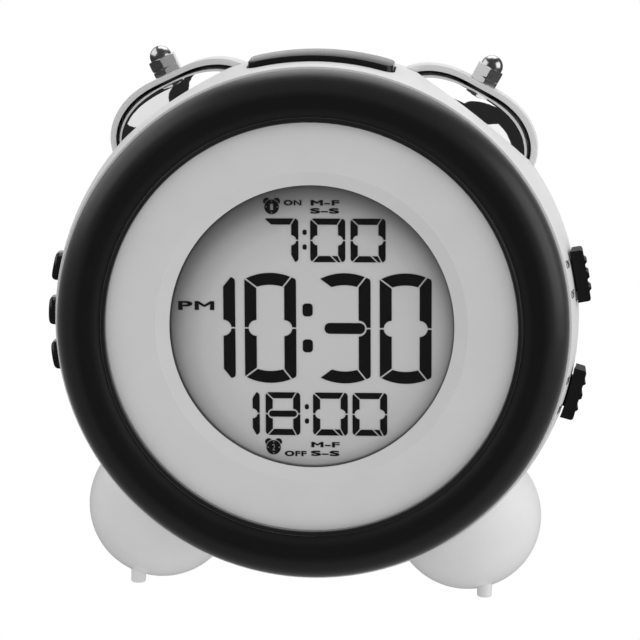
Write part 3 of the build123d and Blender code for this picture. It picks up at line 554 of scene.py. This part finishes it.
def slice_off(piece, place, way):
    activate(piece)
    bpy.ops.object.mode_set(mode="EDIT")
    bpy.ops.mesh.select_all(action="SELECT")
    bpy.ops.mesh.bisect(plane_co=place, plane_no=way, clear_outer=True, use_fill=True)
    bpy.ops.object.mode_set(mode="OBJECT")


def cut(piece, cutter):
    modifier = piece.modifiers.new("cut", "BOOLEAN")
    modifier.operation = "DIFFERENCE"
    modifier.solver = "EXACT"
    modifier.object = cutter
    activate(piece)
    bpy.ops.object.modifier_apply(modifier="cut")
    bpy.data.objects.remove(cutter)


def copied(piece, x, z):
    twin = piece.copy()
    twin.data = piece.data.copy()
    bpy.context.collection.objects.link(twin)
    twin.location = (x, INK_Y, z)
    return twin


def joined(name, pieces):
    let_go()
    for piece in pieces:
        piece.select_set(True)
    bpy.context.view_layer.objects.active = pieces[0]
    bpy.ops.object.join()
    return named(name)


print("ink plate mm:", INK / MM, "at depth mm:", round(INK_Y / MM, 2))

# %% [markdown]
# ## Digit segments
# A seven-segment figure is one band with gaps in it. The large figures have an arched top and foot,
# which is a disc with its sides sliced off; the small ones are a box with rounded corners.
# The inside is cut away, slits part the segments, and a round notch makes room for the middle bar.
# Separating the loose parts then gives seven segments that any figure can be made from.

# %% Make the segments
SLIT_SPARE = 0.3 * MM
CUT_THICK = 6 * INK
ARCH_SIDES = 160
UNDER_HALF = 0.499


def slit(start, end, width):
    run = Vector((end[0] - start[0], end[1] - start[1])) * MM
    middle = Vector((start[0] + end[0], start[1] + end[1])) * MM / 2
    size = (run.length + 2 * SLIT_SPARE, CUT_THICK, width)
    return slab("slit", size, middle.x, middle.y, atan2(run.y, run.x))


def middle_bar(reach, height):
    bar = slab("middle", (2 * reach, INK, height))
    round_corners(bar, height * UNDER_HALF, lambda place: True)
    return bar


def segments(band, width, mitres, gap, notch_x, notch_r, bar_height):
    for start, end in mitres:
        cut(band, slit(start, end, gap))
    cut(band, slab("split", (2 * width, CUT_THICK, gap)))
    for side in (-1, 1):
        cut(band, disc("notch", notch_r, side * notch_x, 0, CUT_THICK))
    activate(band)
    bpy.ops.object.mode_set(mode="EDIT")
    bpy.ops.mesh.select_all(action="SELECT")
    bpy.ops.mesh.separate(type="LOOSE")
    bpy.ops.object.mode_set(mode="OBJECT")
    found = {}
    for part in bpy.context.selected_objects:
        low, high = corners(part)
        x, z = (low.x + high.x) / 2, (low.z + high.z) / 2
        if abs(x) < width / 4:
            found["top" if z > 0 else "foot"] = part
        else:
            found[("right" if x > 0 else "left") + ("_upper" if z > 0 else "_lower")] = part
    found["middle"] = middle_bar(notch_x + notch_r - gap, bar_height)
    return found


BIG_W, BIG_H, BIG_STROKE = 12.0 * MM, 25.6 * MM, 2.76 * MM
BIG_ROUND = 0.8 * MM
BIG_GAP = 0.38 * MM
BIG_NOTCH_R = 1.85 * MM
BIG_BAR = 2.53 * MM
BIG_MITRES = [((-5.80, 11.38), (-2.95, 9.27)), ((4.96, 12.0), (2.95, 9.5)),
              ((-5.80, -11.38), (-2.95, -9.27)), ((4.96, -12.0), (2.95, -9.5))]
big_band = disc("band", BIG_H / 2, sides=ARCH_SIDES)
big_hole = disc("hole", BIG_H / 2 - BIG_STROKE, thick=CUT_THICK, sides=ARCH_SIDES)
for side in (-1, 1):
    slice_off(big_band, (side * BIG_W / 2, 0, 0), (side, 0, 0))
    slice_off(big_hole, (side * (BIG_W / 2 - BIG_STROKE), 0, 0), (side, 0, 0))
round_corners(big_band, BIG_ROUND, lambda place: place.x > BIG_W * UNDER_HALF)
cut(big_band, big_hole)
big = segments(big_band, BIG_W, BIG_MITRES, BIG_GAP, BIG_W / 2 - BIG_STROKE, BIG_NOTCH_R, BIG_BAR)

SMALL_W, SMALL_H, SMALL_SIDE, SMALL_BAR = 8.1 * MM, 10.05 * MM, 1.65 * MM, 1.42 * MM
SMALL_ROUND = 0.9 * MM
SMALL_GAP = 0.3 * MM
SMALL_NOTCH_R = 1.15 * MM
SMALL_MITRES = [((-3.86, 4.9), (-2.25, 3.4)), ((3.15, 5.0), (2.2, 3.5)),
                ((-3.6, -5.0), (-2.2, -3.5)), ((3.1, -5.0), (2.3, -3.5))]
small_band = slab("band", (SMALL_W, INK, SMALL_H))
round_corners(small_band, SMALL_ROUND, lambda place: True)
cut(small_band, slab("hole", (SMALL_W - 2 * SMALL_SIDE, CUT_THICK, SMALL_H - 2 * SMALL_BAR)))
small = segments(small_band, SMALL_W, SMALL_MITRES, SMALL_GAP, SMALL_W / 2 - SMALL_SIDE,
                 SMALL_NOTCH_R, SMALL_BAR)
print("segments:", sorted(big), "and", len(small), "small ones")

# %% [markdown]
# ## The three rows of figures
# Each figure is a list of the segments that are dark. Copies are set out along a row and joined, with
# their place applied, so that each row is one piece at the origin. Places are in millimetres from the axis.
# Each small nought has one more slit, across its foot.

# %% Set out the rows
SIDES = ["left_upper", "left_lower", "right_upper", "right_lower"]
FIGURES = {
    "0": ["top", "foot"] + SIDES,
    "1": SIDES[2:],
    "3": ["top", "foot", "middle"] + SIDES[2:],
    "7": ["top"] + SIDES[2:],
    "8": ["top", "foot", "middle"] + SIDES,
}
TIME_Z, UPPER_Z, LOWER_Z = -0.6, 19.75, -20.62
UPPER_NOUGHTS = (3.35, 12.68)
LOWER_NOUGHTS = (3.8, 13.0)
FOOT_SLIT = ((2.1, -4.95), (0.6, -3.5))
BIG_DOT, BIG_DOT_ROUND = (2.35, 3.0), 0.8
SMALL_DOT, SMALL_DOT_ROUND = (0.95, 1.2), 0.4


def row(name, shapes, figures, z, dots, dot_size, dot_round):
    parts = []
    for figure, x in figures:
        parts += [copied(shapes[segment], x * MM, AXIS_Z + z * MM) for segment in FIGURES[figure]]
    dot_x, dot_places = dots
    dot = slab("dot", (dot_size[0] * MM, INK, dot_size[1] * MM))
    round_corners(dot, dot_round * MM, lambda place: True)
    parts += [copied(dot, dot_x * MM, AXIS_Z + dot_z * MM) for dot_z in dot_places]
    bpy.data.objects.remove(dot)
    return joined(name, parts)


time_row = row("time_figures", big, [("1", -24.28), ("0", -10.08), ("3", 7.22), ("0", 21.35)], TIME_Z,
               (-1.4, (3.65, -4.7)), BIG_DOT, BIG_DOT_ROUND)
upper_row = row("upper_figures", small, [("7", -7.5)] + [("0", x) for x in UPPER_NOUGHTS], UPPER_Z,
                (-2.0, (21.6, 18.2)), SMALL_DOT, SMALL_DOT_ROUND)
lower_row = row("lower_figures", small, [("1", -16.8), ("8", -7.3)] + [("0", x) for x in LOWER_NOUGHTS],
                LOWER_Z, (-1.7, (-18.95, -22.3)), SMALL_DOT, SMALL_DOT_ROUND)
for part in list(big.values()) + list(small.values()):
    bpy.data.objects.remove(part)
for figure_row, places, z in ((upper_row, UPPER_NOUGHTS, UPPER_Z), (lower_row, LOWER_NOUGHTS, LOWER_Z)):
    for x in places:
        start, end = ((x + across, z + down) for across, down in FOOT_SLIT)
        line = slit(start, end, SMALL_GAP)
        line.location = (0, INK_Y, AXIS_Z)
        settle(line)
        cut(figure_row, line)
print("rows:", [len(piece.data.polygons) for piece in (time_row, upper_row, lower_row)])

# %% [markdown]
# ## Words and signs on the display
# The small words are plain day and switch words. Text is made a mesh, fattened so that its strokes are as
# bold as a display's, then stretched into the box that the display gives it.
# The alarm sign is a disc with two ears, with dots and a number cut out of it.

# %% Set the words and signs
BOLD = 0.05
BOLDER = 0.07
LETTER_SPACE = 1.12
MERGE = 0.0001
LETTER_DEPTH = 0.5
SIGN_R = 1.68 * MM
SIGN_DOT_R = 0.15 * MM
SIGN_DOT_OUT = 1.3 * MM
SIGN_DOT_SIDES = 16
EAR_R = 0.82 * MM
EAR_OUT = 1.15 * MM
EAR_UP = 1.3 * MM
EAR_SIDES = 32
EAR_GAP_R = 1.86 * MM


def fatten(piece, amount):
    activate(piece)
    bpy.ops.object.mode_set(mode="EDIT")
    bpy.ops.mesh.select_all(action="SELECT")
    bpy.ops.mesh.remove_doubles(threshold=MERGE)
    bpy.ops.mesh.normals_make_consistent(inside=False)
    bpy.ops.transform.shrink_fatten(value=amount)
    bpy.ops.object.mode_set(mode="OBJECT")


def word(name, letters, x0, x1, z0, z1, bold):
    let_go()
    bpy.ops.object.text_add(rotation=TO_FRONT)
    text = bpy.context.object
    text.data.body = letters
    text.data.extrude = LETTER_DEPTH
    text.data.space_character = LETTER_SPACE
    bpy.ops.object.convert(target="MESH")
    piece = named(name)
    fatten(piece, bold)
    low, high = corners(piece)
    size = Vector(((x1 - x0) * MM, INK, (z1 - z0) * MM))
    piece.scale = [size[axis] / (high[axis] - low[axis]) for axis in range(3)]
    middle = (low + high) / 2
    target = Vector(((x0 + x1) / 2 * MM, 0, (z0 + z1) / 2 * MM))
    piece.location = [target[axis] - piece.scale[axis] * middle[axis] for axis in range(3)]
    settle(piece)
    return piece


def alarm_sign(number):
    face = disc("face", SIGN_R)
    for x, z in ((0, 1), (0, -1), (1, 0), (-1, 0)):
        cut(face, disc("dot", SIGN_DOT_R, x * SIGN_DOT_OUT, z * SIGN_DOT_OUT, CUT_THICK, SIGN_DOT_SIDES))
    figure = word("figure", number, -0.35, 0.35, -0.75, 0.75, 0)
    figure.scale.y = CUT_THICK / INK
    settle(figure)
    cut(face, figure)
    parts = [face]
    for side in (-1, 1):
        ear = disc("ear", EAR_R, side * EAR_OUT, EAR_UP, sides=EAR_SIDES)
        cut(ear, disc("gap", EAR_GAP_R, 0, 0, CUT_THICK))
        parts.append(ear)
    return joined("sign", parts)


mark_parts = []
for number, x, z in (("1", -9.6, 27.4), ("2", -9.55, -28.55)):
    sign = alarm_sign(number)
    mark_parts.append(copied(sign, x * MM, AXIS_Z + z * MM))
    bpy.data.objects.remove(sign)
WORDS = [("PM", -31.55, -23.15, 3.5, 5.55, BOLD), ("ON", -6.8, -2.7, 27.75, 29.0, BOLDER),
         ("M-F", -0.55, 6.05, 27.75, 29.0, BOLDER), ("S-S", -0.7, 6.0, 25.9, 27.15, BOLDER),
         ("OFF", -6.95, -1.85, -30.6, -29.35, BOLDER), ("M-F", -0.7, 5.9, -28.45, -27.2, BOLDER),
         ("S-S", -0.8, 5.9, -30.5, -29.25, BOLDER)]
for letters, x0, x1, z0, z1, bold in WORDS:
    piece = word("word", letters, x0, x1, z0, z1, bold)
    piece.location = (0, INK_Y, AXIS_Z)
    mark_parts.append(piece)
marks = joined("display_marks", mark_parts)
print("marks:", len(marks.data.polygons))

# %% [markdown]
# ## Ink
# Liquid crystal segments are nearly black with a trace of unevenness, and a little softer than plastic.
# The display's picture stands a touch askew in its round window, so one matrix turns and sets all of it
# about the axis of the body. All the ink rides with the case.

# %% Ink the figures
DISPLAY_TURN = radians(1.7)
DISPLAY_STRETCH = (1.006, 1, 1.017)
DISPLAY_SHIFT = Vector((0.44 * MM, 0, 0.17 * MM))

middle = Vector((0, 0, AXIS_Z))
stretch = Matrix.Diagonal((*DISPLAY_STRETCH, 1))
set_in = Matrix.Translation(middle + DISPLAY_SHIFT) @ Matrix.Rotation(-DISPLAY_TURN, 4, "Y") @ stretch
set_in = set_in @ Matrix.Translation(-middle)
ink = finished("display_ink", plastic(grey(0.010), 0.45, cloudiness=0.15))
inked = [time_row, upper_row, lower_row, marks]
for piece in inked:
    piece.matrix_world = set_in
    settle(piece)
    piece.data.materials.clear()
    piece.data.materials.append(ink)
    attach(piece, "case")
print("inked pieces:", len(inked))

# %% [markdown]
# ## Words beside the slide switches
# Each switch has a word at either end of its travel, printed on the strip of barrel between ring and knob.
# The barrel curves both ways there, so flat text is projected on to it along X, and a thin Solidify
# gives the print its body.

# %% Print the switch words
PRINT = 0.05 * MM
PRINT_GAP = 0.02 * MM
KNOB_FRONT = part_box("switch_knob_upper")[0][1]
PRINT_Y = (RING_BACK + KNOB_FRONT) / 2
PRINT_REACH = 62.0 * MM
PRINT_SIZE = 2.6 * MM
START_X = 70 * MM
TO_RIGHT = (pi / 2, 0, pi / 2)
SWITCH_WORDS = [("ON", 15.0), ("OFF", 8.4), ("ON", -10.6), ("OFF", -17.2)]


def printed(letters, angle):
    let_go()
    place = (START_X, PRINT_Y, AXIS_Z + PRINT_REACH * sin(radians(angle)))
    bpy.ops.object.text_add(rotation=TO_RIGHT, location=place)
    text = bpy.context.object
    text.data.body = letters
    text.data.size = PRINT_SIZE
    text.data.align_x = "CENTER"
    text.data.align_y = "CENTER"
    bpy.ops.object.convert(target="MESH")
    piece = named("print")
    lay = piece.modifiers.new("lay", "SHRINKWRAP")
    lay.wrap_method = "PROJECT"
    lay.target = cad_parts["front_housing"]
    lay.use_project_x = True
    lay.use_positive_direction = False
    lay.use_negative_direction = True
    lay.offset = PRINT_GAP
    body = piece.modifiers.new("body", "SOLIDIFY")
    body.thickness = PRINT
    body.offset = 1
    for modifier in ("lay", "body"):
        bpy.ops.object.modifier_apply(modifier=modifier)
    return piece


switch_words = joined("switch_words", [printed(letters, angle) for letters, angle in SWITCH_WORDS])
switch_words.data.materials.clear()
switch_words.data.materials.append(finished("barrel_print", plastic(grey(0.02), 0.5, cloudiness=0.2)))
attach(switch_words, "case")
print("print box mm:", [[round(value / MM, 2) for value in corner] for corner in corners(switch_words)])
